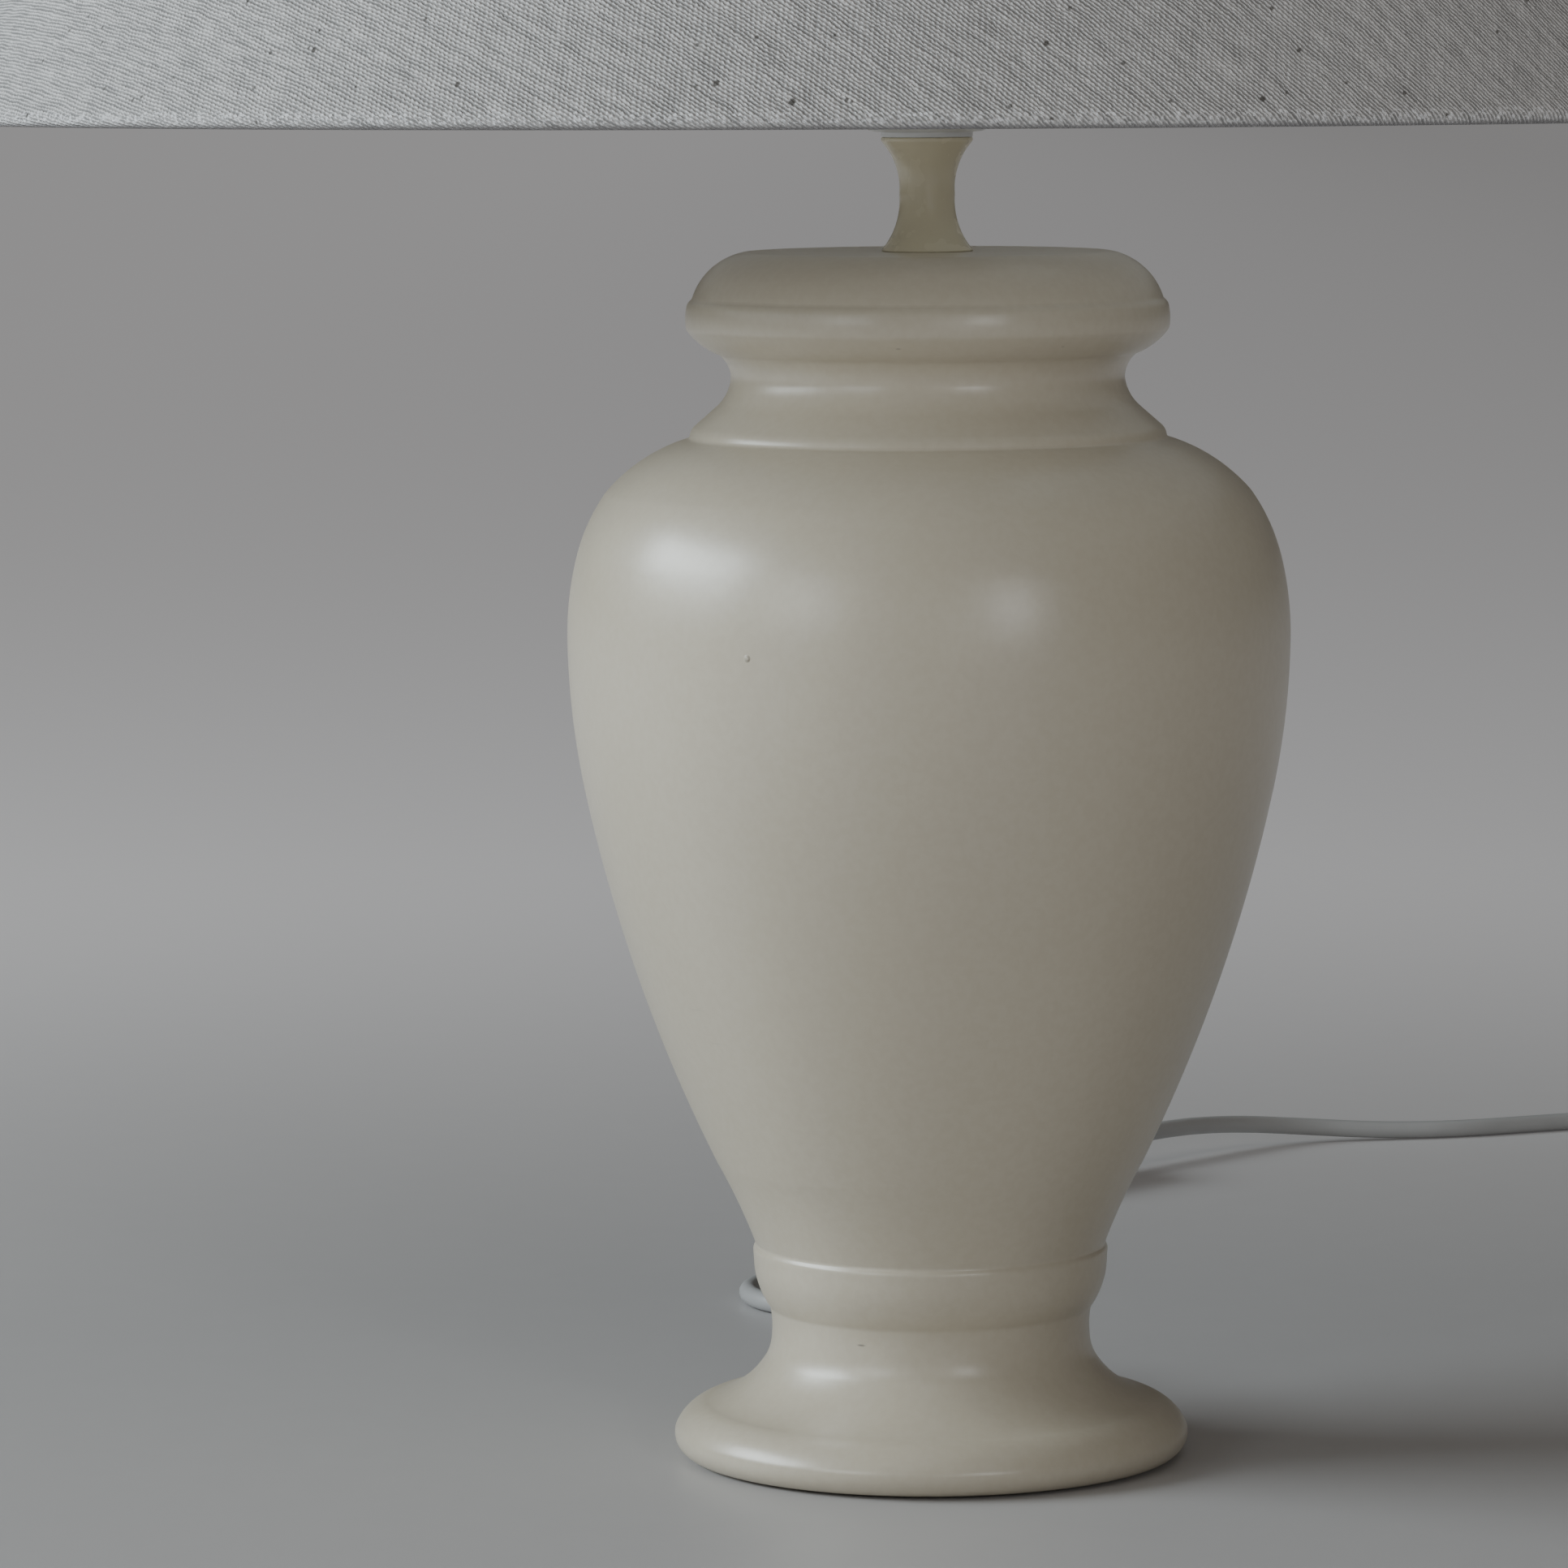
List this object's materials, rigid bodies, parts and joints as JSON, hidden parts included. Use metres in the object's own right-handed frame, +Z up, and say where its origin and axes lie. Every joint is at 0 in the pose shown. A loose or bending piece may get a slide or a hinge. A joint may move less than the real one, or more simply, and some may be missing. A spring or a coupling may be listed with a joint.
{
  "type": "table lamp with shade",
  "caption": "Table lamp: hollow turned ceramic base on a flared foot, waisted neck spool, screw-base lamp holder, wide conical cloth shade, and corded rocker switch and plug.",
  "frame": {"origin": "middle of the foot's underside, on the surface that the lamp stands on", "axes": "+Z up along the lamp's axis, +Y towards the back, where the cord leaves, +X to the right"},
  "size_m": [0.62, 0.8827, 0.5986],
  "materials": {
    "ceramic": "satin glaze, cream",
    "felt": "pressed felt",
    "fibreboard": "plain board",
    "white_rubber": "soft, satin",
    "zinc_steel": "zinc plated",
    "fibre": "pressed fibre",
    "spool_enamel": "satin enamel",
    "white_moulding": "moulded, satin gloss",
    "porcelain": "glazed white",
    "brass": "bright",
    "opal_glass": "opal",
    "cap_nickel": "bright",
    "black_glass": "opaque black",
    "solder": "dull",
    "shade_cloth": "slubbed linen weave",
    "shade_liner": "white laminate",
    "white_wire": "white enamel",
    "cord_sheath": "soft sheath, satin",
    "rocker": "moulded, glossy"
  },
  "bodies": {
    "root": {"ceramic_base": "ceramic", "felt_pad": "felt", "bottom_disc": "fibreboard", "cord_relief": "white_rubber", "nipple": "zinc_steel", "fibre_washer": "fibre", "steel_washer": "zinc_steel", "hex_nut": "zinc_steel", "neck_spool": "spool_enamel", "inner_cable": "cord_sheath", "holder_cap": "white_moulding", "holder_sleeve": "white_moulding", "holder_insert": "porcelain", "screw_shell": "brass", "centre_contact": "brass", "terminal_screws": "brass", "shade_ring_lower": "white_moulding", "cord_lamp_side": "cord_sheath", "cord_plug_side": "cord_sheath", "cord_coil": "cord_sheath", "cord_tail": "cord_sheath", "plug_relief": "white_rubber", "plug_body": "white_moulding", "plug_pins": "brass", "switch_base": "white_moulding", "switch_top": "white_moulding", "switch_reliefs": "white_rubber", "rocker_pin": "zinc_steel", "switch_contacts": "brass", "switch_screws": "zinc_steel"},
    "shade": {"shade_fabric": "shade_cloth", "shade_liner": "shade_liner", "seam_tape": "shade_liner", "top_ring": "white_wire", "bottom_ring": "white_wire", "spider_arms": "white_wire", "fitter_ring": "white_wire"},
    "shade_ring": {"shade_ring_upper": "white_moulding"},
    "bulb_tip": {"bulb_insulator": "black_glass", "bulb_contact": "solder"},
    "bulb": {"bulb_glass": "opal_glass", "bulb_cap": "cap_nickel"},
    "rocker": {"switch_rocker": "rocker"}
  },
  "joints": [
    {"name": "shade_turn", "type": "hinge", "parent": "root", "child": "shade", "pos_m": [0, 0, 0.4027], "axis": [0, 0, 1], "continuous": true},
    {"name": "ring_lift", "type": "slide", "parent": "root", "child": "shade_ring", "axis": [0, 0, 1], "range_m": [0, 0.009]},
    {"name": "bulb_lift", "type": "slide", "parent": "root", "child": "bulb_tip", "axis": [0, 0, 1], "range_m": [0, 0.01824]},
    {"name": "bulb_turn", "type": "hinge", "parent": "bulb_tip", "child": "bulb", "pos_m": [0, 0, 0.42], "axis": [0, 0, 1], "range_deg": [0, 1800]},
    {"name": "rocker_tip", "type": "hinge", "parent": "root", "child": "rocker", "pos_m": [0.0291, 0.4595, 0.0192], "axis": [-0.766, 0.6428, 0], "range_deg": [0, 14]}
  ],
  "couplings": [
    {"joint": "bulb_lift", "follows": "bulb_turn", "m_per_rad": 0.00057757}
  ]
}
